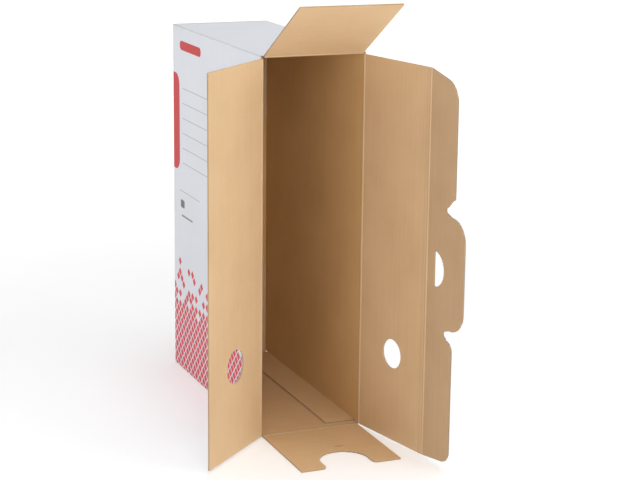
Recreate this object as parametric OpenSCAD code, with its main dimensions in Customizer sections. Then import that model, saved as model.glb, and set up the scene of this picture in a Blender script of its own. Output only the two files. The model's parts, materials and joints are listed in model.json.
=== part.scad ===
// Archive box folded from one die-cut blank of thin corrugated board.
// The open end, with its four closing flaps, faces -Y. The spine faces +Y.
// Origin: centre of the footprint of the closed box, on the ground. +Z is up.
// Each panel is two plies: a fluted board with a brown inner liner, and a white outer facing.

/* [Body] */
// Width across the spine
box_w = 100; // [80:1:150]
// Depth from the opening to the spine
box_d = 250; // [180:1:340]
// Height
box_h = 350; // [300:1:400]

/* [Board] */
// Thickness of the whole board
board_t = 1.5; // [1.2:0.1:3]
// Thickness of the white outer facing
facing_t = 0.2; // [0.15:0.05:0.4]
// Gap between closed layers of the front flaps
layer_gap = 0.3; // [0.2:0.05:0.6]
// Gap left along a crease that folds
crease_gap = 0.2; // [0.1:0.05:0.3]
// Thickness of a glue line
glue_t = 0.1; // [0.05:0.05:0.2]

/* [Front flaps] */
// Length of the left, top and bottom flaps
flap_l = 98; // [70:0.5:98]
// How far the left and right flaps stop short of the top and the bottom
flap_trim = 2; // [1.8:0.1:6]
// Left flap: angle from closed
left_open = 137.5; // [95:0.5:175]
// Right flap: angle from closed
right_open = 101.5; // [95:0.5:120]
// Top flap: angle from closed
top_open = 121.5; // [90:0.5:175]

/* [Finger holes] */
// Diameter of the hole in the left flap
left_hole_d = 31; // [20:1:36]
// Diameter of the hole in the right flap
right_hole_d = 27; // [20:1:36]
// Height of the holes above the ground
hole_z = 83; // [80:1:110]
// Radius of the thumb cut-out in the bottom flap
cutout_r = 22; // [16:1:24]
// Depth of the thumb cut-out
cutout_depth = 36; // [34:1:40]
// Rounding of the mouth of the thumb cut-out
cutout_lip_r = 5; // [2:1:6]

/* [Tuck panel] */
// Angle by which the tuck panel is folded from the plane of the right flap
tuck_fold = 6; // [0:0.5:20]
// Width of the tuck panel at its shoulders
tuck_w = 43; // [38:1:46]
// Width of the tuck panel at its tab
tab_w = 60; // [56:1:66]
// Height of the tab
tab_h = 99; // [90:1:130]
// Height of the middle of the tab above the ground
tab_z = 176; // [160:1:200]
// Radius of the tab's corners
tab_r = 20; // [12:1:24]
// Radius of the half-round thumb hole in the tab
thumb_r = 16; // [12:1:18]

/* [Joints] */
// Width of the strip that joins the blank into a tube
glue_flap_w = 30; // [20:1:40]
// Length of the spine's short flaps
spine_flap_l = 98; // [60:1:120]

/* [Hidden] */
$fn = 96;

brown = "#c69c6d";
white = "#eceae4";
glue_tone = "#e6dfc4";

half_w = box_w / 2;
half_d = box_d / 2;
square_cut = 0;                          // slope of a plainly cut edge
mitre = 1;                               // slope of an edge that meets a crease at 45 degrees
layer = board_t + layer_gap;             // step from one closed front layer to the next
glued_layer = board_t + glue_t;          // step from one glued spine layer to the next

// Creases of the front flaps, from the outermost closed layer inwards
left_crease_y = -half_d;
right_crease_y = -half_d + layer;
short_crease_y = -half_d + 2 * layer;

// Creases of the spine flaps, from the outermost layer inwards
spine_outer_y = half_d;
spine_inner_y = half_d - glued_layer;
spine_short_y = half_d - 2 * glued_layer;

// The tuck panel lies against the left wall when closed, so the right flap stops there
tuck_crease_l = box_w - layer;
// The short flaps close between the tuck panel and the right wall
short_inset_left = 2 * layer;
short_inset_right = layer;
short_flap_w = box_w - short_inset_left - short_inset_right;

side_flap_h = box_h - 2 * flap_trim;
seam_z = glued_layer;                    // underside of the strip that joins the tube
glue_flap_trim = 8;                      // the strip stops short of the creases at both ends
overlap = 1;                             // how far a cutting shape runs past a face

// Tuck panel outline
tuck_top_taper = 10;                     // drop of each end over the width of the panel
tuck_bottom_taper = 6;
tuck_top_r = 20;
tuck_bottom_r = 12;
notch_r = 2.7;
notch_floor_y = 29.3;                    // floor of both notches from the crease
notch_to_tab = 5;                        // from the middle of a notch to the edge of the tab
upper_shoulder_gap = 15;                 // from the upper shoulder to the tab
upper_shoulder_r = 3;
lower_shoulder_gap = 10;
lower_shoulder_r = 9;
tab_flank_y = 39;                        // where a notch's flank meets the tab
thumb_x = 12.5;                          // straight side of the thumb hole from the crease

// A flat sheet from [0, 0] to size, between depths v0 and v1 below the outer face at z = 0.
// edge = slopes of the x = 0, x = max, y = 0 and y = max edges.
module sheet(size, v0, v1, edge) {
    intersection() {
        translate([0, size.y, 0]) rotate([90, 0, 0]) linear_extrude(size.y)
            side_profile(size.x, v0, v1, edge[0], edge[1]);
        rotate([90, 0, 90]) linear_extrude(size.x)
            side_profile(size.y, v0, v1, edge[2], edge[3]);
    }
}

module side_profile(length, v0, v1, slope_0, slope_1) {
    polygon([
        [slope_0 * v0, v0], [length - slope_1 * v0, v0],
        [length - slope_1 * v1, v1], [slope_0 * v1, v1]
    ]);
}

module board(size, edge) color(brown) sheet(size, facing_t, board_t, edge);
module facing(size, edge) color(white) sheet(size, 0, facing_t, edge);

// ---- Tube: local x runs round the tube, y runs from the opening to the spine ----

all_mitred = [mitre, mitre, mitre, mitre];

module at_left_wall() translate([-half_w, left_crease_y, box_h]) rotate([0, 90, 0]) children();
module at_right_wall() translate([half_w, right_crease_y, seam_z]) rotate([0, -90, 0]) children();
module at_top_wall() translate([half_w, short_crease_y, box_h]) rotate([0, 180, 0]) children();
module at_bottom_wall() translate([-half_w, short_crease_y, 0]) children();

left_wall_size = [box_h, spine_outer_y - left_crease_y];
right_wall_size = [box_h - seam_z, spine_inner_y - right_crease_y];
cross_wall_size = [box_w, spine_short_y - short_crease_y];
bottom_edges = [mitre, square_cut, mitre, mitre];

module left_wall() at_left_wall() board(left_wall_size, all_mitred);
module left_wall_facing() at_left_wall() facing(left_wall_size, all_mitred);
module right_wall() at_right_wall() board(right_wall_size, all_mitred);
module right_wall_facing() at_right_wall() facing(right_wall_size, all_mitred);
module top_wall() at_top_wall() board(cross_wall_size, all_mitred);
module top_wall_facing() at_top_wall() facing(cross_wall_size, all_mitred);
module bottom_wall() at_bottom_wall() board(cross_wall_size, bottom_edges);
module bottom_wall_facing() at_bottom_wall() facing(cross_wall_size, bottom_edges);

// ---- Strip that joins the right wall to the inside of the bottom wall ----

glue_flap_size = [glue_flap_w, cross_wall_size.y - 2 * glue_flap_trim];
glue_flap_edges = [square_cut, mitre, square_cut, square_cut];

module at_glue_flap()
    translate([half_w - glue_flap_w, short_crease_y + glue_flap_trim, seam_z]) children();
module glue_flap() at_glue_flap() board(glue_flap_size, glue_flap_edges);
module glue_flap_facing() at_glue_flap() facing(glue_flap_size, glue_flap_edges);

module seam_glue() {
    bead_w = 18;
    margin = 5;
    color(glue_tone)
        translate([half_w - glue_flap_w + margin, glue_flap_trim + short_crease_y + margin, board_t])
            cube([bead_w, glue_flap_size.y - 2 * margin, glue_t]);
}

// ---- Spine: local x runs along the crease, y away from it ----

module at_spine_outer() translate([-half_w, spine_outer_y, box_h]) rotate([90, 90, 0]) children();
module at_spine_inner() translate([half_w, spine_inner_y, seam_z]) rotate([90, -90, 0]) children();
module at_spine_top() translate([half_w, spine_short_y, box_h]) rotate([-90, 0, 180]) children();
module at_spine_bottom() translate([-half_w, spine_short_y, 0]) rotate([90, 0, 0]) children();

spine_edges = [square_cut, square_cut, mitre, square_cut];
spine_outer_size = [box_h, box_w - crease_gap];
spine_inner_size = [box_h - seam_z, box_w - layer];
spine_short_size = [box_w - 2 * layer, spine_flap_l];

module spine_outer_flap() at_spine_outer() board(spine_outer_size, spine_edges);
module spine_outer_facing() at_spine_outer() facing(spine_outer_size, spine_edges);
module spine_inner_flap() at_spine_inner() board(spine_inner_size, spine_edges);
module spine_inner_facing() at_spine_inner() facing(spine_inner_size, spine_edges);
module spine_top_flap()
    at_spine_top() translate([layer, 0, 0]) board(spine_short_size, spine_edges);
module spine_top_facing()
    at_spine_top() translate([layer, 0, 0]) facing(spine_short_size, spine_edges);
module spine_bottom_flap()
    at_spine_bottom() translate([layer, 0, 0]) board(spine_short_size, spine_edges);
module spine_bottom_facing()
    at_spine_bottom() translate([layer, 0, 0]) facing(spine_short_size, spine_edges);

// Two upright beads between the two full spine panels
module spine_panel_glue() {
    bead_w = 14;
    bead_x = 28;
    margin = 15;
    color(glue_tone) for (side = [-1, 1])
        translate([side * bead_x - bead_w / 2, spine_inner_y, margin])
            cube([bead_w, glue_t, box_h - 2 * margin]);
}

// One patch on each short spine flap
module spine_flap_glue() {
    patch_w = 60;
    patch_h = 50;
    edge_margin = 25;
    color(glue_tone) for (z = [edge_margin, box_h - edge_margin - patch_h])
        translate([-patch_w / 2, spine_short_y, z]) cube([patch_w, glue_t, patch_h]);
}

// ---- Front flaps: local x runs along the crease, y away from it ----

flap_edges = [square_cut, square_cut, mitre, square_cut];

module at_left_flap()
    translate([-half_w, left_crease_y, 0]) rotate([0, 0, -left_open]) rotate([90, -90, 180])
        children();
module at_right_flap()
    translate([half_w, right_crease_y, 0]) rotate([0, 0, right_open]) rotate([90, 90, 180])
        translate([-box_h, 0, 0]) children();
module at_tuck_panel()
    at_right_flap() translate([0, tuck_crease_l, 0]) rotate([tuck_fold, 0, 0]) children();
module at_top_flap()
    translate([-half_w, short_crease_y, box_h]) rotate([270 - top_open, 0, 0]) children();
module at_bottom_flap()
    translate([half_w, short_crease_y, 0]) rotate([0, 0, 180]) children();

// The sheet from its crease gap out to its full length
module flap_board(width, length, edge) translate([0, crease_gap, 0])
    board([width, length - crease_gap], edge);
module flap_facing(width, length, edge) translate([0, crease_gap, 0])
    facing([width, length - crease_gap], edge);

module finger_hole(x, d)
    translate([x, half_w, -overlap]) cylinder(d = d, h = board_t + 2 * overlap);

module left_flap() color(brown) at_left_flap() difference() {
    translate([flap_trim, 0, 0]) flap_board(side_flap_h, flap_l, flap_edges);
    finger_hole(hole_z, left_hole_d);
}
module left_flap_facing() color(white) at_left_flap() difference() {
    translate([flap_trim, 0, 0]) flap_facing(side_flap_h, flap_l, flap_edges);
    finger_hole(hole_z, left_hole_d);
}

right_flap_edges = [square_cut, square_cut, mitre, mitre];
right_flap_l = tuck_crease_l - crease_gap;

module right_flap() color(brown) at_right_flap() difference() {
    translate([flap_trim, 0, 0]) flap_board(side_flap_h, right_flap_l, right_flap_edges);
    finger_hole(box_h - hole_z, right_hole_d);
}
module right_flap_facing() color(white) at_right_flap() difference() {
    translate([flap_trim, 0, 0]) flap_facing(side_flap_h, right_flap_l, right_flap_edges);
    finger_hole(box_h - hole_z, right_hole_d);
}

module top_flap() at_top_flap() translate([short_inset_left, 0, 0])
    flap_board(short_flap_w, flap_l, flap_edges);
module top_flap_facing() at_top_flap() translate([short_inset_left, 0, 0])
    flap_facing(short_flap_w, flap_l, flap_edges);

module bottom_flap() color(brown) at_bottom_flap() difference() {
    translate([short_inset_right, 0, 0]) flap_board(short_flap_w, flap_l, flap_edges);
    thumb_cutout();
}
module bottom_flap_facing() color(white) at_bottom_flap() difference() {
    translate([short_inset_right, 0, 0]) flap_facing(short_flap_w, flap_l, flap_edges);
    thumb_cutout();
}

// Round-bottomed cut-out whose mouth opens with a rounded lip on each side
module thumb_cutout() {
    centre_y = flap_l - cutout_depth + cutout_r;
    throat = flap_l - centre_y;
    translate([half_w, 0, -overlap]) linear_extrude(board_t + 2 * overlap) {
        translate([0, centre_y]) circle(r = cutout_r);
        translate([-cutout_r, centre_y]) square([2 * cutout_r, throat + overlap]);
        for (side = [-1, 1]) translate([side * cutout_r, flap_l]) difference() {
            translate([-cutout_lip_r, -cutout_lip_r])
                square([2 * cutout_lip_r, cutout_lip_r + overlap]);
            translate([side * cutout_lip_r, -cutout_lip_r]) circle(r = cutout_lip_r);
        }
    }
}

// ---- Tuck panel: a tab stands out from its middle, between two notches ----

// A rectangle from x_square to x_round and from the crease to y1, with one rounded outer corner
module shoulder(x_square, x_round, y1, r) {
    x_centre = x_round - sign(x_round - x_square) * r;
    translate([min(x_square, x_round), 0]) square([abs(x_round - x_square), y1 - r]);
    translate([min(x_square, x_centre), 0]) square([abs(x_centre - x_square), y1]);
    translate([x_centre, y1 - r]) circle(r = r);
}

// What is cut from an end of the tuck panel at x_end, on its side dir: the end slopes by taper
// over the panel's width and runs into its outer edge with radius r
module end_cut(x_end, dir, taper, r) {
    slope_l = sqrt(taper * taper + tuck_w * tuck_w);
    centre_y = tuck_w - r;
    centre_x = x_end + dir * (r * slope_l + taper * centre_y) / tuck_w;
    outside_x = x_end - dir * overlap;
    difference() {
        polygon([
            [outside_x, 0], [x_end, 0],
            [centre_x - dir * r * tuck_w / slope_l, centre_y + r * taper / slope_l],
            [centre_x, centre_y], [centre_x, tuck_w + overlap], [outside_x, tuck_w + overlap]
        ]);
        translate([centre_x, centre_y]) circle(r = r);
    }
}

// The same outline run the other way round: joined outlines must all run anticlockwise
function reversed(points) = [for (i = [len(points) - 1 : -1 : 0]) points[i]];

// The floor of a notch between a shoulder's end and the tab's edge, on the tab's side dir
module notch_floor(x_shoulder, x_tab, shoulder_y) {
    dir = sign(x_tab - x_shoulder);
    x = x_tab - dir * notch_to_tab;
    y = notch_floor_y + notch_r;
    outline = [
        [x_shoulder, 0], [x_tab, 0], [x_tab, tab_flank_y],
        [x + dir * notch_r, y], [x - dir * notch_r, y], [x_shoulder, shoulder_y]
    ];
    difference() {
        polygon(dir > 0 ? outline : reversed(outline));
        translate([x, y]) circle(r = notch_r);
    }
}

module tuck_outline() {
    tab_x0 = box_h - tab_z - tab_h / 2;
    tab_x1 = tab_x0 + tab_h;
    tab_middle = box_h - tab_z;
    upper_end = tab_x0 - upper_shoulder_gap;
    lower_end = tab_x1 + lower_shoulder_gap;
    end_x = box_h - flap_trim;
    difference() {
        shoulder(flap_trim, upper_end, tuck_w, upper_shoulder_r);
        end_cut(flap_trim, 1, tuck_top_taper, tuck_top_r);
    }
    notch_floor(upper_end, tab_x0, tuck_w - upper_shoulder_r);
    for (x = [tab_x0, tab_x1]) shoulder(tab_middle, x, tab_w, tab_r);
    notch_floor(lower_end, tab_x1, tuck_w - lower_shoulder_r);
    difference() {
        shoulder(end_x, lower_end, tuck_w, lower_shoulder_r);
        end_cut(end_x, -1, tuck_bottom_taper, tuck_bottom_r);
    }
}

module thumb_hole() translate([box_h - tab_z, thumb_x]) intersection() {
    circle(r = thumb_r);
    translate([-thumb_r, 0]) square([2 * thumb_r, thumb_r]);
}

// The tuck panel's plies between depths v0 and v1, mitred along the crease
module tuck_sheet(v0, v1) at_tuck_panel() intersection() {
    translate([0, 0, v0]) linear_extrude(v1 - v0) difference() {
        tuck_outline();
        thumb_hole();
    }
    translate([0, crease_gap, 0]) sheet([box_h, tab_w], v0, v1, flap_edges);
}

module tuck_panel() color(brown) tuck_sheet(facing_t, board_t);
module tuck_panel_facing() color(white) tuck_sheet(0, facing_t);

left_wall();
left_wall_facing();
right_wall();
right_wall_facing();
top_wall();
top_wall_facing();
bottom_wall();
bottom_wall_facing();
glue_flap();
glue_flap_facing();
seam_glue();
spine_outer_flap();
spine_outer_facing();
spine_inner_flap();
spine_inner_facing();
spine_top_flap();
spine_top_facing();
spine_bottom_flap();
spine_bottom_facing();
spine_panel_glue();
spine_flap_glue();
left_flap();
left_flap_facing();
right_flap();
right_flap_facing();
tuck_panel();
tuck_panel_facing();
top_flap();
top_flap_facing();
bottom_flap();
bottom_flap_facing();
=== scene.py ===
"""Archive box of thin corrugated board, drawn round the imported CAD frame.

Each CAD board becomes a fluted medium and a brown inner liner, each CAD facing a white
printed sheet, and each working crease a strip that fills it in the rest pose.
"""
import json
import math

import bmesh
import bpy
from mathutils import Matrix, Vector


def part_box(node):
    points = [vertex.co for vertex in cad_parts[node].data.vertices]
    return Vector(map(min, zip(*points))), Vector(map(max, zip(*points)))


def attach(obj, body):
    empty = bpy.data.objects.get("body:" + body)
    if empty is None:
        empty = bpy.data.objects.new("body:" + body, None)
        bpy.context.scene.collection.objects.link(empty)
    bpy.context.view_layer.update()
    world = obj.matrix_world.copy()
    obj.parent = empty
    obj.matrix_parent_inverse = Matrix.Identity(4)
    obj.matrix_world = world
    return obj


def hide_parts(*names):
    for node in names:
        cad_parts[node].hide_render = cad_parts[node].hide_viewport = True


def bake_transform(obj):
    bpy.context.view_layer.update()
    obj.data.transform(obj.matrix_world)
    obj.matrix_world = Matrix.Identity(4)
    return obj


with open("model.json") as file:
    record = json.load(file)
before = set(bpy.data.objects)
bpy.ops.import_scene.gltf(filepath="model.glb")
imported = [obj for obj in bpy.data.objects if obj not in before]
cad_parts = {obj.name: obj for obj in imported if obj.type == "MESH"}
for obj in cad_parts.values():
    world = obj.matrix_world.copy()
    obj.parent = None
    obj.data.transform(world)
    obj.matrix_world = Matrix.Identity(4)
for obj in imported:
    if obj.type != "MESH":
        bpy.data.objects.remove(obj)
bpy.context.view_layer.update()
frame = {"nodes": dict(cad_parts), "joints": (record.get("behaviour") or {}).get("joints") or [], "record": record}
MM = 0.001

X, Y, Z = Vector((1, 0, 0)), Vector((0, 1, 0)), Vector((0, 0, 1))
JOINTS = {joint["name"]: joint for joint in frame["joints"]}


# ---------------------------------------------------------------- sizes from the frame

LOW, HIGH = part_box("left_wall_facing")
HEIGHT = HIGH[2]
LEFT_X, FRONT_Y, SPINE_Y = LOW[0], LOW[1], HIGH[1]
RIGHT_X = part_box("right_wall_facing")[1][0]
FACING_T = HIGH[0] - LOW[0]
BOARD_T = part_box("left_wall")[1][0] - LEFT_X
SEAM_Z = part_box("glue_flap_facing")[0][2]
CREASE_GAP = JOINTS["bottom_flap_crease"]["pos_m"][1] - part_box("bottom_flap_facing")[1][1]

# the board's plies
LINER_T = 0.25 * MM
FLUTE_PITCH = 3.3 * MM
FLUTE_T = 0.16 * MM
GLUE_LINE = 0.004 * MM        # between a flute's crest and the ply it is glued to
STEPS_PER_FLUTE = 8
CUT_MARGIN = 1 * MM           # how far the fluted sheet runs past the panel that it is cut to
WELD = 0.005 * MM             # vertices of a CAD mesh closer than this are one

# a working crease
CREASE_DIP = 0.08             # how far its inside dips, as a share of its reach from the hinge line
CREASE_SEGMENTS = 12
CREASE_INSET = 0.995          # keeps the inside just under the liners that it joins
BEAD_R = 0.22 * MM
FLOOR_BEAD_R = 0.01 * MM      # the bottom crease lies on the ground
BEAD_NECK = 0.05 * MM
STRIP_TRIM = 0.4 * MM

# a fixed fold of the tube
FOLD_R = 0.6 * MM
FOLD_STEPS = 3


# ---------------------------------------------------------------- where each panel lies

def hinge_frame(joint_name, along, closed_y, closed_z=Y):
    """A flap's local axes at rest: along its crease, away from it, and into the board."""
    joint = JOINTS[joint_name]
    turn = Matrix.Rotation(math.radians(-joint["range_deg"][0]), 3, Vector(joint["axis"]))
    return Vector(joint["pos_m"]), along, turn @ closed_y, turn @ closed_z


def tuck_frame():
    """The tuck panel turns with the right flap and then about its own crease."""
    joint = JOINTS["tuck_crease"]
    right = JOINTS["right_flap_crease"]["range_deg"][0]
    fold = frame["record"]["behaviour"]["couplings"][0]["ratio"] * right
    turn = Matrix.Rotation(math.radians(-right - fold), 3, Z)
    return Vector(joint["pos_m"]), -Z, turn @ Y, turn @ X


left_foot = Vector((LEFT_X, FRONT_Y, 0))
right_foot = Vector((RIGHT_X, FRONT_Y, 0))

# panel: a point on its outer face, then along the flutes, across them, and into the board
PANELS = {
    "left_wall": (left_foot, -Z, Y, X),
    "right_wall": (right_foot, Z, Y, -X),
    "top_wall": (Vector((LEFT_X, FRONT_Y, HEIGHT)), -X, Y, -Z),
    "bottom_wall": (left_foot, X, Y, Z),
    "glue_flap": (Vector((RIGHT_X, FRONT_Y, SEAM_Z)), X, Y, Z),
    "spine_outer_flap": (Vector((LEFT_X, SPINE_Y, 0)), -Z, X, -Y),
    "spine_inner_flap": (Vector((0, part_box("spine_inner_facing")[1][1], 0)), Z, -X, -Y),
    "spine_top_flap": (Vector((0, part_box("spine_top_facing")[1][1], 0)), -X, -Z, -Y),
    "spine_bottom_flap": (Vector((0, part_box("spine_bottom_facing")[1][1], 0)), X, Z, -Y),
    "left_flap": hinge_frame("left_flap_crease", Z, X),
    "right_flap": hinge_frame("right_flap_crease", -Z, -X),
    "top_flap": hinge_frame("top_flap_crease", X, -Z),
    "bottom_flap": hinge_frame("bottom_flap_crease", -X, Z),
    "tuck_panel": tuck_frame(),
}
FACING_OF = {
    panel: panel.replace("_flap", "") + "_facing" if panel.startswith("spine")
    else panel + "_facing" for panel in PANELS
}
BODY_OF = {
    node: body for body, nodes in frame["record"]["behaviour"]["bodies"].items()
    for node in nodes
}


def local_matrix(panel):
    """From a panel's own axes to the frame's."""
    origin, along, across, into = PANELS[panel]
    return Matrix.Translation(origin) @ Matrix((along, across, into)).transposed().to_4x4()


# ---------------------------------------------------------------- materials

class Shader:
    """A principled material with short names for the nodes used here."""

    def __init__(self, name, color, roughness):
        self.material = bpy.data.materials.new(name)
        self.material.use_nodes = True
        self.tree = self.material.node_tree
        self.principled = self.tree.nodes["Principled BSDF"]
        self.principled.inputs["Base Color"].default_value = (*color, 1)
        self.principled.inputs["Roughness"].default_value = roughness
        self.principled.inputs["Specular IOR Level"].default_value = 0.3

    def node(self, kind, **settings):
        node = self.tree.nodes.new("ShaderNode" + kind)
        for key, value in settings.items():
            setattr(node, key, value)
        return node

    def link(self, a, b):
        self.tree.links.new(a, b)

    def uv(self):
        return self.node("UVMap", uv_map="board").outputs["UV"]

    def place(self):
        return self.node("TexCoord").outputs["Object"]

    def scaled(self, vector, scale):
        node = self.node("Mapping")
        node.inputs["Scale"].default_value = scale
        self.link(vector, node.inputs["Vector"])
        return node.outputs["Vector"]

    def noise(self, vector, scale, detail=4.0, roughness=0.55):
        node = self.node("TexNoise")
        node.inputs["Scale"].default_value = scale
        node.inputs["Detail"].default_value = detail
        node.inputs["Roughness"].default_value = roughness
        self.link(vector, node.inputs["Vector"])
        return node.outputs["Fac"]

    def math(self, operation, a, b=None, c=None):
        node = self.node("Math", operation=operation)
        for index, value in enumerate((a, b, c)):
            if value is None:
                continue
            if isinstance(value, (int, float)):
                node.inputs[index].default_value = value
            else:
                self.link(value, node.inputs[index])
        return node.outputs["Value"]

    def ramp(self, factor, stops):
        node = self.node("ValToRGB")
        ramp = node.color_ramp
        while len(ramp.elements) < len(stops):
            ramp.elements.new(0.5)
        for element, (position, color) in zip(ramp.elements, stops):
            element.position = position
            element.color = (*color, 1)
        self.link(factor, node.inputs["Fac"])
        return node.outputs["Color"]

    def mix(self, factor, a, b, blend="MIX"):
        node = self.node("Mix", data_type="RGBA", blend_type=blend)
        for name, value in (("Factor", factor), ("A", a), ("B", b)):
            target = [s for s in node.inputs if s.name == name and s.enabled][0]
            if isinstance(value, (int, float)):
                target.default_value = value
            elif isinstance(value, tuple):
                target.default_value = (*value, 1)
            else:
                self.link(value, target)
        return [s for s in node.outputs if s.enabled][0]

    def smooth(self, value, zero_at, one_at):
        """0 at zero_at and 1 at one_at, with soft ends."""
        node = self.node("MapRange", interpolation_type="SMOOTHSTEP")
        self.link(value, node.inputs["Value"])
        low, high = min(zero_at, one_at), max(zero_at, one_at)
        node.inputs["From Min"].default_value = low
        node.inputs["From Max"].default_value = high
        node.inputs["To Min"].default_value = 0 if low == zero_at else 1
        node.inputs["To Max"].default_value = 1 if low == zero_at else 0
        return node.outputs["Result"]

    def separate(self, vector):
        node = self.node("SeparateXYZ")
        self.link(vector, node.inputs["Vector"])
        return node.outputs

    def color(self, value):
        self.link(value, self.principled.inputs["Base Color"])

    def bump(self, height, distance, strength=1.0, after=None):
        node = self.node("Bump")
        node.inputs["Distance"].default_value = distance
        node.inputs["Strength"].default_value = strength
        self.link(height, node.inputs["Height"])
        if after:
            self.link(after, node.inputs["Normal"])
        return node.outputs["Normal"]

    def normal(self, value):
        self.link(value, self.principled.inputs["Normal"])

    def roughness(self, value):
        self.link(value, self.principled.inputs["Roughness"])


# painted highlight and painted shade for the band beside a crease
CREASE_PAINTED_HIGHLIGHT = (0.78, 0.58, 0.39)
CREASE_PAINTED_SHADE = (0.50, 0.32, 0.18)
RUBBED_GREY = (0.52, 0.50, 0.47)
SCUFF_BROWN = (0.36, 0.20, 0.09)
SCUFF_PLACE = (9 * MM, FRONT_Y - 47 * MM, 1 * MM)
PAPER_WHITE = (0.79, 0.81, 0.855)
PAPER_DIM = 0.94              # of that white, in the paper's darker clouds


def washboard(shader):
    """The faint ridges that the flutes press through a liner."""
    across = shader.separate(shader.uv())["Y"]
    return shader.math("SINE", shader.math("MULTIPLY", across, 2 * math.pi / FLUTE_PITCH))


def crease_painted_light(shader, color, crease_y):
    """Painted highlight close beside a crease, and painted shade in a band further out where the board dips."""
    across = shader.separate(shader.uv())["Y"]
    away = shader.math("ABSOLUTE", shader.math("SUBTRACT", across, crease_y))
    pale = shader.smooth(away, 3.4 * MM, 0.8 * MM)
    dip = shader.math("MULTIPLY", shader.smooth(away, 7 * MM, 4.5 * MM),
                      shader.smooth(away, 3 * MM, 4.5 * MM))
    color = shader.mix(shader.math("MULTIPLY", pale, 0.4), color, CREASE_PAINTED_HIGHLIGHT)
    return shader.mix(shader.math("MULTIPLY", dip, 0.3), color, CREASE_PAINTED_SHADE)


def kraft(name, light, middle, dark, creases=()):
    """Unbleached liner: fibres, cloudy tone, and faint lines over the flutes."""
    shader = Shader(name, middle, 0.82)
    uv = shader.uv()
    clouds = shader.noise(uv, 14, 3)
    streaks = shader.noise(shader.scaled(uv, (6, 330, 1)), 1, 3)
    fibres = shader.noise(shader.scaled(uv, (420, 1500, 1)), 1, 5, 0.7)
    specks = shader.noise(uv, 2600, 2)
    tone = shader.math("MULTIPLY_ADD", streaks, 0.22, shader.math("MULTIPLY", clouds, 0.5))
    tone = shader.math("MULTIPLY_ADD", fibres, 0.28, tone)
    ridges = washboard(shader)
    tone = shader.math("MULTIPLY_ADD", ridges, 0.008, tone)
    color = shader.ramp(tone, [(0.34, dark), (0.5, middle), (0.66, light)])
    dots = shader.ramp(specks, [(0.30, (0.55, 0.5, 0.45)), (0.38, (1, 1, 1))])
    color = shader.mix(0.5, color, dots, "MULTIPLY")
    # painted highlight and painted shade beside each crease given
    for crease_y in creases:
        color = crease_painted_light(shader, color, crease_y)
    color = scuff(shader, color)
    shader.color(color)
    fine = shader.bump(fibres, 0.00006)
    shader.normal(shader.bump(ridges, 0.00003, after=fine))
    shader.roughness(shader.math("MULTIPLY_ADD", fibres, 0.2, 0.7))
    return shader.material


def scuff(shader, color):
    """A small rubbed mark on the bottom flap."""
    offset = shader.node("VectorMath", operation="SUBTRACT")
    shader.link(shader.place(), offset.inputs[0])
    offset.inputs[1].default_value = SCUFF_PLACE
    wide = shader.scaled(offset.outputs["Vector"], (0.45, 1, 1))
    distance = shader.node("VectorMath", operation="LENGTH")
    shader.link(wide, distance.inputs[0])
    ragged = shader.math("MULTIPLY_ADD", shader.noise(shader.place(), 300, 3), 3 * MM,
                         distance.outputs["Value"])
    mask = shader.smooth(ragged, 4.4 * MM, 2.2 * MM)
    return shader.mix(shader.math("MULTIPLY", mask, 0.45), color, SCUFF_BROWN)


def fold_distance(shader):
    """How far a point of the tube's outside is from the nearest of the box's edges."""
    place = shader.separate(shader.place())
    from_side = shader.math("SUBTRACT", RIGHT_X, shader.math("ABSOLUTE", place["X"]))
    from_end = shader.math("SUBTRACT", SPINE_Y, shader.math("ABSOLUTE", place["Y"]))
    from_level = shader.math("SUBTRACT", HEIGHT / 2, shader.math(
        "ABSOLUTE", shader.math("SUBTRACT", place["Z"], HEIGHT / 2)))
    low = shader.math("MINIMUM", from_side, from_end)
    high = shader.math("MAXIMUM", from_side, from_end)
    return shader.math("MAXIMUM", low, shader.math("MINIMUM", high, from_level))


def fold_wear(shader, color):
    """Paper rubbed grey in patches where the tube is folded."""
    ragged = shader.math("MULTIPLY_ADD", shader.noise(shader.place(), 130, 4), -2.6 * MM,
                         fold_distance(shader))
    rubbed = shader.smooth(ragged, 0.4 * MM, -0.9 * MM)
    return shader.mix(shader.math("MULTIPLY", rubbed, 0.5), color, RUBBED_GREY)


def paper(name, decorate=None, folded=False):
    """Bleached outer liner, with what is printed on it."""
    shader = Shader(name, PAPER_WHITE, 0.55)
    uv = shader.uv()
    fibres = shader.noise(uv, 1400, 5, 0.7)
    clouds = shader.noise(uv, 22, 3)
    dim = tuple(PAPER_DIM * c for c in PAPER_WHITE)
    tone = shader.math("MULTIPLY_ADD", fibres, 0.5, shader.math("MULTIPLY", clouds, 0.5))
    color = shader.ramp(tone, [(0.3, dim), (0.6, PAPER_WHITE)])
    if decorate:
        color = decorate(shader, color)
    if folded:
        color = fold_wear(shader, color)
    shader.color(color)
    ridges = washboard(shader)
    fine = shader.bump(fibres, 0.00002)
    shader.normal(shader.bump(ridges, 0.00002, after=fine))
    shader.roughness(shader.math("MULTIPLY_ADD", fibres, 0.15, 0.5))
    return shader.material


# ---------------------------------------------------------------- print on the facings

RED = (0.62, 0.035, 0.038)
MOSAIC_RED = (0.72, 0.065, 0.085)
LINE_GREY = (0.42, 0.44, 0.45)
MARK_GREY = (0.16, 0.18, 0.19)

DIAMOND_PITCH = 11.2 * MM
DIAMOND_HALF = 0.41           # of a lattice cell, whose half is 0.5
MOSAIC_FULL_H = 46 * MM       # the mosaic is whole below this height
MOSAIC_EMPTY_H = 134 * MM     # and gone above this one
CHANCE_LOW, CHANCE_HIGH = 1.02, -0.05


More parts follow.
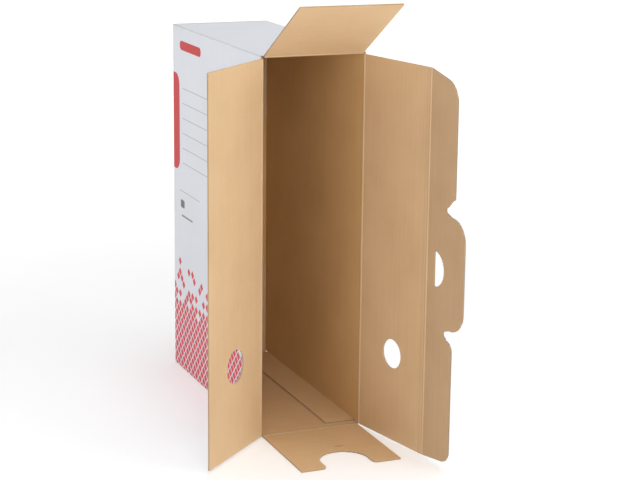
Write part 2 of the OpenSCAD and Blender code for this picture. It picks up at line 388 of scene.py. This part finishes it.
def rounded_rect(shader, a, b, centre, half, radius):
    """1 inside a rounded rectangle in the plane of a and b."""
    far = []
    for value, middle, size in zip((a, b), centre, half):
        offset = shader.math("ABSOLUTE", shader.math("SUBTRACT", value, middle))
        far.append(shader.math("MAXIMUM", shader.math("SUBTRACT", offset, size - radius), 0))
    length = shader.math("SQRT", shader.math(
        "ADD", shader.math("MULTIPLY", far[0], far[0]), shader.math("MULTIPLY", far[1], far[1])))
    return shader.math("LESS_THAN", length, radius)


def mosaic(shader, run, height, color):
    """Small red diamonds on a 45 degree lattice, thinning out upwards."""
    scaled_run = shader.math("DIVIDE", run, DIAMOND_PITCH)
    scaled_height = shader.math("DIVIDE", height, DIAMOND_PITCH)
    s = shader.math("ADD", scaled_run, scaled_height)
    t = shader.math("SUBTRACT", scaled_run, scaled_height)
    inside = None
    cells = []
    for value in (s, t):
        cell = shader.math("FLOOR", value)
        cells.append(cell)
        offset = shader.math("ABSOLUTE", shader.math(
            "SUBTRACT", shader.math("SUBTRACT", value, cell), 0.5))
        mask = shader.math("LESS_THAN", offset, DIAMOND_HALF)
        inside = mask if inside is None else shader.math("MULTIPLY", inside, mask)
    combine = shader.node("CombineXYZ")
    shader.link(cells[0], combine.inputs["X"])
    shader.link(cells[1], combine.inputs["Y"])
    chance = shader.node("TexWhiteNoise", noise_dimensions="2D")
    shader.link(combine.outputs["Vector"], chance.inputs["Vector"])
    cell_height = shader.math("MULTIPLY", shader.math(
        "SUBTRACT", cells[0], cells[1]), DIAMOND_PITCH / 2)
    odds = shader.node("MapRange", interpolation_type="SMOOTHSTEP")
    shader.link(cell_height, odds.inputs["Value"])
    odds.inputs["From Min"].default_value = MOSAIC_FULL_H
    odds.inputs["From Max"].default_value = MOSAIC_EMPTY_H
    odds.inputs["To Min"].default_value = CHANCE_LOW
    odds.inputs["To Max"].default_value = CHANCE_HIGH
    kept = shader.math("LESS_THAN", chance.outputs["Value"], odds.outputs["Result"])
    return shader.mix(shader.math("MULTIPLY", inside, kept), color, MOSAIC_RED)


# printed shapes on the left wall, in mm: middle back from the front edge, middle up from the
# ground, half length, half height, and corner radius
WRITING_LINES = [(125, 215 + 15 * step, 96, 0.35, 0.35) for step in range(6)]
SHORT_LINE = (200, 186, 31, 0.35, 0.35)
SQUARE_MARK = (222, 173, 6, 4, 2)
STROKE_MARK = (208, 161, 17, 0.8, 0.8)
BADGE = (196, 332, 32, 4.5, 4.5)

# the bar that wraps round the edge between the left wall and the spine
BAR_HALF = 20 * MM
BAR_LOW, BAR_HIGH = 206 * MM, 303 * MM
BAR_R = 12 * MM


def printed(shader, run, height, shape):
    """1 inside one of the printed shapes above."""
    back, up, half_run, half_height, radius = (MM * value for value in shape)
    return rounded_rect(shader, run, height, (FRONT_Y + back, up), (half_run, half_height), radius)


def wrapped_bar(shader, run, height, edge):
    """1 inside the bar, on the panel whose run reaches the box's edge at edge."""
    return rounded_rect(shader, run, height, (edge, (BAR_LOW + BAR_HIGH) / 2),
                        (BAR_HALF, (BAR_HIGH - BAR_LOW) / 2), BAR_R)


def left_wall_print(shader, color):
    """Writing lines, the bar, a plain badge and marks, and the mosaic."""
    place = shader.separate(shader.place())
    run, height = place["Y"], place["Z"]
    color = mosaic(shader, run, height, color)
    color = shader.mix(wrapped_bar(shader, run, height, SPINE_Y), color, RED)
    lines = printed(shader, run, height, SHORT_LINE)
    for shape in WRITING_LINES:
        lines = shader.math("MAXIMUM", printed(shader, run, height, shape), lines)
    color = shader.mix(lines, color, LINE_GREY)
    marks = shader.math("MAXIMUM", printed(shader, run, height, SQUARE_MARK),
                        printed(shader, run, height, STROKE_MARK))
    color = shader.mix(marks, color, MARK_GREY)
    return shader.mix(printed(shader, run, height, BADGE), color, RED)


def spine_print(shader, color):
    """The other half of the bar, and the mosaic carried round."""
    place = shader.separate(shader.place())
    run, height = place["X"], place["Z"]
    from_left = shader.math("ADD", run, SPINE_Y + LEFT_X)
    color = mosaic(shader, from_left, height, color)
    return shader.mix(wrapped_bar(shader, run, height, LEFT_X), color, RED)


def right_wall_print(shader, color):
    """The mosaic alone."""
    place = shader.separate(shader.place())
    return mosaic(shader, place["Y"], place["Z"], color)


RIGHT_FLAP_L = math.hypot(
    JOINTS["tuck_crease"]["pos_m"][0] - RIGHT_X,
    JOINTS["tuck_crease"]["pos_m"][1] - JOINTS["right_flap_crease"]["pos_m"][1])

# each kraft has a light, a middle and a dark tone
LINER = kraft("kraft_liner", (0.705, 0.498, 0.30), (0.665, 0.465, 0.271), (0.61, 0.418, 0.236))
# the walls' copy: more saturated, painted bounce light for light reflected round inside the tube
WALL_LINER_PAINTED_BOUNCE = kraft("kraft_liner_walls_painted_bounce",
                   (0.735, 0.495, 0.245), (0.69, 0.462, 0.22), (0.635, 0.415, 0.19))
# the bottom wall, glue flap and bottom flap: lighter, painted light for the up-facing panels
FLOOR_LINER_PAINTED_LIGHT = kraft("kraft_liner_floor_painted_light",
                    (0.77, 0.535, 0.305), (0.73, 0.50, 0.278), (0.67, 0.45, 0.242))
# the right flap: darker, painted shade, with a painted highlight and painted shade beside the tuck crease
RIGHT_FLAP_LINER_PAINTED_SHADE = kraft("kraft_liner_right_flap_painted_shade",
                         (0.675, 0.467, 0.275), (0.635, 0.435, 0.248), (0.58, 0.39, 0.215),
                         creases=(RIGHT_FLAP_L,))
# the tuck panel: darker, painted shade
TUCK_LINER_PAINTED_SHADE = kraft("kraft_liner_tuck_painted_shade",
                   (0.585, 0.405, 0.242), (0.545, 0.37, 0.218), (0.50, 0.332, 0.19))
CREASE_LINER = kraft("kraft_crease", (0.65, 0.46, 0.28), (0.61, 0.425, 0.25), (0.55, 0.375, 0.215))
MEDIUM = kraft("kraft_medium", (0.62, 0.44, 0.27), (0.56, 0.39, 0.23), (0.48, 0.32, 0.18))
FACING_EDGE = kraft("facing_edge", (0.62, 0.55, 0.46), (0.56, 0.49, 0.40), (0.47, 0.40, 0.31))
# lit and shaded copies of the one liner, chosen per panel as painted light and shade
LINERS_WITH_PAINTED_LIGHT = {
    "left_wall": WALL_LINER_PAINTED_BOUNCE, "right_wall": WALL_LINER_PAINTED_BOUNCE,
    "top_wall": WALL_LINER_PAINTED_BOUNCE, "spine_inner_flap": WALL_LINER_PAINTED_BOUNCE,
    "bottom_wall": FLOOR_LINER_PAINTED_LIGHT, "glue_flap": FLOOR_LINER_PAINTED_LIGHT, "bottom_flap": FLOOR_LINER_PAINTED_LIGHT,
    "right_flap": RIGHT_FLAP_LINER_PAINTED_SHADE, "tuck_panel": TUCK_LINER_PAINTED_SHADE,
}
PLAIN_FACING = paper("white_facing")
TUBE_FACING = paper("white_facing_tube", folded=True)
FACINGS = {
    "left_wall_facing": paper("white_facing_left", decorate=left_wall_print, folded=True),
    "spine_outer_facing": paper("white_facing_spine", decorate=spine_print, folded=True),
    "right_wall_facing": paper("white_facing_right", decorate=right_wall_print, folded=True),
    "top_wall_facing": TUBE_FACING,
    "bottom_wall_facing": TUBE_FACING,
}


# ---------------------------------------------------------------- mesh helpers

def new_object(name, mesh):
    obj = bpy.data.objects.new(name, mesh)
    bpy.context.scene.collection.objects.link(obj)
    return obj


def clean_copy(node):
    """A CAD node's mesh as one closed shell in a new bmesh."""
    bm = bmesh.new()
    bm.from_mesh(frame["nodes"][node].data)
    bmesh.ops.remove_doubles(bm, verts=bm.verts, dist=WELD)
    return bm


def add_board_uv(mesh, panel):
    """UVs in metres: u along the flutes and v across them."""
    to_local = local_matrix(panel).inverted()
    layer = mesh.uv_layers.new(name="board")
    for loop in mesh.loops:
        point = to_local @ mesh.vertices[loop.vertex_index].co
        layer.data[loop.index].uv = (point.x, point.y)


def shade_by_angle(bm, limit=math.radians(30)):
    """Smooth faces with every real edge kept sharp."""
    for face in bm.faces:
        face.smooth = True
    for edge in bm.edges:
        edge.smooth = len(edge.link_faces) == 2 and edge.calc_face_angle() < limit


def finish_panel(name, bm, panel, material, stands_for=None):
    """Makes a panel's ply an object that moves with its body and can stand for a CAD node."""
    shade_by_angle(bm)
    mesh = bpy.data.meshes.new(name)
    bm.to_mesh(mesh)
    bm.free()
    add_board_uv(mesh, panel)
    mesh.materials.append(material)
    obj = new_object(name, mesh)
    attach(obj, BODY_OF[panel])
    if stands_for:
        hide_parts(stands_for)
    return obj


def thin_to_liner(bm, panel):
    """Draws a board's outer side in until only the inner liner's thickness is left."""
    to_local = local_matrix(panel).inverted()
    middle = (FACING_T + BOARD_T) / 2
    outer = [v for v in bm.verts if (to_local @ v.co).z < middle]
    moved = {}
    for vert in outer:
        partners = [e.other_vert(vert) for e in vert.link_edges]
        partners = [p for p in partners if (to_local @ p.co).z > middle]
        inner = min(partners, key=lambda p: (p.co - vert.co).length)
        moved[vert] = inner.co.lerp(vert.co, LINER_T / (BOARD_T - FACING_T))
    for vert, place in moved.items():
        vert.co = place


def wavy_sheet(panel, size_box):
    """The fluted medium, a thin wave along the panel, before it is cut to the outline."""
    to_world = local_matrix(panel)
    (x0, x1), (y0, y1) = ((low - CUT_MARGIN, high + CUT_MARGIN) for low, high in size_box)
    depth = (FACING_T + BOARD_T - LINER_T) / 2
    swing = (BOARD_T - LINER_T - FACING_T - FLUTE_T) / 2 - GLUE_LINE
    count = int(math.ceil((y1 - y0) / FLUTE_PITCH * STEPS_PER_FLUTE)) + 1
    bm = bmesh.new()
    rows = []
    for i in range(count):
        y = y0 + (y1 - y0) * i / (count - 1)
        phase = 2 * math.pi * y / FLUTE_PITCH
        z = depth + swing * math.sin(phase)
        rows.append([
            bm.verts.new(to_world @ Vector((x, y, z + side * FLUTE_T / 2)))
            for x, side in ((x0, -1), (x1, -1), (x1, 1), (x0, 1))
        ])
    for a, b in zip(rows, rows[1:]):
        for k in range(4):
            bm.faces.new((a[k], a[(k + 1) % 4], b[(k + 1) % 4], b[k]))
    bm.faces.new(rows[0])
    bm.faces.new(list(reversed(rows[-1])))
    bmesh.ops.recalc_face_normals(bm, faces=bm.faces)
    return bm


def local_extent(bm, panel):
    """The mesh's range along the flutes and across them."""
    to_local = local_matrix(panel).inverted()
    points = [to_local @ v.co for v in bm.verts]
    return [(min(p[k] for p in points), max(p[k] for p in points)) for k in range(2)]


def intersected(name, bm_a, bm_b):
    """The part of a that lies inside b."""
    pair = []
    for suffix, bm in (("", bm_a), ("_cutter", bm_b)):
        mesh = bpy.data.meshes.new(name + suffix)
        bm.to_mesh(mesh)
        bm.free()
        pair.append(new_object(name + suffix, mesh))
    modifier = pair[0].modifiers.new("cut", "BOOLEAN")
    modifier.operation = "INTERSECT"
    modifier.solver = "EXACT"
    modifier.object = pair[1]
    graph = bpy.context.evaluated_depsgraph_get()
    result = bmesh.new()
    result.from_mesh(pair[0].evaluated_get(graph).to_mesh())
    for obj in pair:
        mesh = obj.data
        bpy.data.objects.remove(obj)
        bpy.data.meshes.remove(mesh)
    return result


def keep_largest(bm):
    """Drops the slivers that a cut leaves beside the main piece."""
    left = set(bm.verts)
    pieces = []
    while left:
        reached = [left.pop()]
        for vert in reached:
            for edge in vert.link_edges:
                other = edge.other_vert(vert)
                if other in left:
                    left.remove(other)
                    reached.append(other)
        pieces.append(reached)
    pieces.sort(key=len)
    for piece in pieces[:-1]:
        bmesh.ops.delete(bm, geom=piece, context="VERTS")


def make_board(panel):
    """Inner liner and fluted medium in place of a CAD board."""
    liner = clean_copy(panel)
    extent = local_extent(liner, panel)
    thin_to_liner(liner, panel)
    finish_panel(panel + "_liner", liner, panel, LINERS_WITH_PAINTED_LIGHT.get(panel, LINER), panel)
    medium = intersected(panel + "_medium", wavy_sheet(panel, extent), clean_copy(panel))
    keep_largest(medium)
    finish_panel(panel + "_medium", medium, panel, MEDIUM)


def round_fold(bm, corner, outward, into):
    """Rounds a facing where it turns through a right angle: half of the arc, up to the mitre."""
    centre = corner + (into - outward) * FOLD_R
    for step in range(1, FOLD_STEPS + 1):
        turn = math.pi / 4 * (step - 0.5) / FOLD_STEPS
        normal = -into * math.cos(turn) + outward * math.sin(turn)
        geometry = bm.verts[:] + bm.edges[:] + bm.faces[:]
        cut = bmesh.ops.bisect_plane(bm, geom=geometry, dist=1e-8, plane_co=centre + normal * FOLD_R,
                                     plane_no=normal, clear_outer=True)
        edges = [e for e in cut["geom_cut"] if isinstance(e, bmesh.types.BMEdge)]
        bmesh.ops.holes_fill(bm, edges=edges)


# the ends of each tube facing that turn a fixed corner: a point on the corner, then outward
FOLDS = {
    "left_wall": [(Vector((LEFT_X, 0, HEIGHT)), Z), (Vector((LEFT_X, 0, 0)), -Z),
                  (Vector((LEFT_X, SPINE_Y, 0)), Y)],
    "right_wall": [(Vector((RIGHT_X, 0, HEIGHT)), Z)],
    "top_wall": [(Vector((LEFT_X, 0, HEIGHT)), -X), (Vector((RIGHT_X, 0, HEIGHT)), X)],
    "bottom_wall": [(Vector((LEFT_X, 0, 0)), -X)],
    "spine_outer_flap": [(Vector((LEFT_X, SPINE_Y, 0)), -X)],
}


def make_facing(panel):
    """The white sheet, with its cut edges grey-brown; the glue flap's cut edges are kraft brown as a painted
    shadow along the seam.
    """
    node = FACING_OF[panel]
    bm = clean_copy(node)
    into = PANELS[panel][3]
    for corner, outward in FOLDS.get(panel, ()):
        round_fold(bm, corner, outward, into)
    for face in bm.faces:
        face.material_index = 1 if abs(face.normal.dot(into)) < 0.65 else 0
    material = FACINGS.get(node, PLAIN_FACING)
    sheet = finish_panel(node + "_sheet", bm, panel, material, node)
    # the glue flap's cut edge is kraft brown as a painted shadow of the seam's gap
    sheet.data.materials.append(MEDIUM if panel == "glue_flap" else FACING_EDGE)


for panel_name in PANELS:
    make_board(panel_name)
    make_facing(panel_name)


# ---------------------------------------------------------------- working creases

def crease_strip(name, flap, wall, wall_away, length_range, wall_gap=0.0, bead_r=BEAD_R):
    """A sector that fills the crease between the wall's mitred end and the flap's.

    Its inside follows the brown liner round the fold and its outside is a small bead of the
    white facing. wall_away points from the crease along the wall.
    """
    origin, along, away, into = PANELS[flap]
    wall_into = PANELS[wall][3]
    wall_corner = wall_away * (BOARD_T + wall_gap) + wall_into * BOARD_T
    flap_corner = away * (BOARD_T + CREASE_GAP) + into * BOARD_T
    turn = wall_corner.angle(flap_corner)
    axis = wall_corner.cross(flap_corner).normalized()
    across = (wall_corner.normalized() - flap_corner.normalized()).normalized()
    outward = -(wall_corner.normalized() + flap_corner.normalized()).normalized()
    bm = bmesh.new()
    rings = []
    for x in (length_range[0] + STRIP_TRIM, length_range[1] - STRIP_TRIM):
        centre = origin + along * x
        inside, outside = [], []
        for i in range(CREASE_SEGMENTS + 1):
            share = i / CREASE_SEGMENTS
            bulge = math.sin(math.pi * share)
            ray = Matrix.Rotation(turn * share, 3, axis) @ wall_corner.normalized()
            reach = wall_corner.length * (1 - share) + flap_corner.length * share
            dipped = reach * (CREASE_INSET - CREASE_DIP * bulge)
            inside.append(bm.verts.new(centre + ray * dipped))
            neck = BEAD_NECK * math.cos(math.pi * share)
            outside.append(bm.verts.new(centre + across * neck + outward * bead_r * bulge))
        rings.append(inside + outside[::-1])
    count = len(rings[0])
    for k in range(count):
        n = (k + 1) % count
        face = bm.faces.new((rings[0][k], rings[0][n], rings[1][n], rings[1][k]))
        face.material_index = 0 if k < CREASE_SEGMENTS else 1
    for ring in rings:
        bm.faces.new(ring).material_index = 2
    bmesh.ops.recalc_face_normals(bm, faces=bm.faces)
    shade_by_angle(bm)
    mesh = bpy.data.meshes.new(name)
    bm.to_mesh(mesh)
    bm.free()
    add_board_uv(mesh, flap)
    for material in (CREASE_LINER, PLAIN_FACING, MEDIUM):
        mesh.materials.append(material)
    obj = new_object(name, mesh)
    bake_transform(obj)


def flap_range(flap):
    """Where a flap begins and ends along its crease."""
    origin, along, _, _ = PANELS[flap]
    low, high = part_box(flap)
    ends = [(Vector(corner) - origin).dot(along) for corner in (low, high)]
    return sorted(ends)


for side in ("left", "right", "top"):
    crease_strip(side + "_crease", side + "_flap", side + "_wall", Y, flap_range(side + "_flap"))
crease_strip("bottom_crease", "bottom_flap", "bottom_wall", Y, flap_range("bottom_flap"),
             bead_r=FLOOR_BEAD_R)
crease_strip("tuck_fold", "tuck_panel", "right_flap", -PANELS["right_flap"][2],
             flap_range("tuck_panel"), CREASE_GAP)


# ---------------------------------------------------------------- glue

def glue_material():
    """Dried glue, lumpy and yellowish."""
    shader = Shader("dried_glue", (0.62, 0.55, 0.36), 0.35)
    lumps = shader.noise(shader.place(), 260, 4)
    shader.color(shader.ramp(lumps, [(0.35, (0.55, 0.46, 0.27)), (0.65, (0.70, 0.64, 0.45))]))
    shader.normal(shader.bump(lumps, 0.00005))
    return shader.material


GLUE = glue_material()
for glue_node in ("seam_glue", "spine_panel_glue", "spine_flap_glue"):
    cad = frame["nodes"][glue_node]
    cad.data.materials.clear()
    cad.data.materials.append(GLUE)


# ---------------------------------------------------------------- floor, light, camera

# the floor's own glow rises from the object outwards, so that it ends in plain white
GLOW_START_R, GLOW_FULL_R = 0.3, 1.6
GLOW_NEAR, GLOW_FAR = 0.34, 0.8


def floor_material():
    """Pale grey floor with a faint grain and a glow of its own."""
    shader = Shader("pale_floor", (0.80, 0.80, 0.80), 0.7)
    grain = shader.noise(shader.place(), 5, 2)
    shader.color(shader.ramp(grain, [(0.3, (0.79, 0.79, 0.79)), (0.7, (0.81, 0.81, 0.81))]))
    shader.principled.inputs["Emission Color"].default_value = (1, 1, 1, 1)
    distance = shader.node("VectorMath", operation="LENGTH")
    shader.link(shader.place(), distance.inputs[0])
    glow = shader.node("MapRange", interpolation_type="SMOOTHSTEP")
    shader.link(distance.outputs["Value"], glow.inputs["Value"])
    glow.inputs["From Min"].default_value = GLOW_START_R
    glow.inputs["From Max"].default_value = GLOW_FULL_R
    glow.inputs["To Min"].default_value = GLOW_NEAR
    glow.inputs["To Max"].default_value = GLOW_FAR
    shader.link(glow.outputs["Result"], shader.principled.inputs["Emission Strength"])
    return shader.material


def make_floor():
    """A round floor whose rim curves up into a low backdrop."""
    flat_r, rim_r, rim_h = 8, 12, 3.2
    sides, steps = 96, 10
    profile = [(0.5, 0), (2, 0), (4, 0)]
    for step in range(steps + 1):
        turn = math.pi / 2 * step / steps
        profile.append((flat_r + (rim_r - flat_r) * math.sin(turn), rim_h * (1 - math.cos(turn))))
    bm = bmesh.new()
    centre = bm.verts.new((0, 0, 0))
    rings = [[bm.verts.new((r * math.cos(2 * math.pi * k / sides),
                            r * math.sin(2 * math.pi * k / sides), z)) for k in range(sides)]
             for r, z in profile]
    for k in range(sides):
        n = (k + 1) % sides
        bm.faces.new((centre, rings[0][k], rings[0][n]))
        for low, high in zip(rings, rings[1:]):
            bm.faces.new((low[k], high[k], high[n], low[n]))
    for face in bm.faces:
        face.smooth = True
    mesh = bpy.data.meshes.new("floor")
    bm.to_mesh(mesh)
    bm.free()
    mesh.materials.append(floor_material())
    new_object("floor", mesh)


WORLD_STRENGTH = 0.25


def make_world():
    """Even white light from all round."""
    world = bpy.data.worlds.new("soft_studio")
    bpy.context.scene.world = world
    world.use_nodes = True
    background = world.node_tree.nodes["Background"]
    background.inputs["Color"].default_value = (1, 1, 1, 1)
    background.inputs["Strength"].default_value = WORLD_STRENGTH


# a soft box's place, side length in metres and power in watts
SOFT_BOXES = {
    "overhead": ((0.2, -0.4, 2.2), 2.2, 29),
    "front_key": ((-0.45, -2.1, 0.95), 1.1, 12),
    "front_right": ((1.4, -1.9, 0.9), 1.2, 8),
}
LIGHT_TARGET = Vector((0, 0, 0.2))


def soft_box(name, place, side, power):
    light = bpy.data.lights.new(name, "AREA")
    light.shape = "RECTANGLE"
    light.size = light.size_y = side
    light.energy = power
    obj = bpy.data.objects.new(name, light)
    obj.location = place
    obj.rotation_euler = (LIGHT_TARGET - Vector(place)).to_track_quat("-Z", "Y").to_euler()
    bpy.context.scene.collection.objects.link(obj)


CAMERA_PLACE = Vector((LEFT_X - 0.543, FRONT_Y - 1.449, 0.560))
CAMERA_YAW, CAMERA_PITCH, CAMERA_ROLL = 22.50, 13.56, 0.68
CAMERA_LENS = 100.8
SENSOR = 36


def make_camera():
    """A long lens, from above and to the left of the open end."""
    data = bpy.data.cameras.new("camera")
    data.sensor_width = SENSOR
    data.lens = CAMERA_LENS
    data.clip_end = 50
    camera = bpy.data.objects.new("camera", data)
    turn = (Matrix.Rotation(math.radians(-CAMERA_YAW), 4, "Z")
            @ Matrix.Rotation(math.radians(90 - CAMERA_PITCH), 4, "X")
            @ Matrix.Rotation(math.radians(CAMERA_ROLL), 4, "Z"))
    camera.matrix_world = Matrix.Translation(CAMERA_PLACE) @ turn
    bpy.context.scene.collection.objects.link(camera)
    bpy.context.scene.camera = camera


make_floor()
make_world()
for box_name, (box_place, box_side, box_power) in SOFT_BOXES.items():
    soft_box(box_name, box_place, box_side, box_power)
make_camera()
bpy.context.scene.view_settings.view_transform = "Standard"
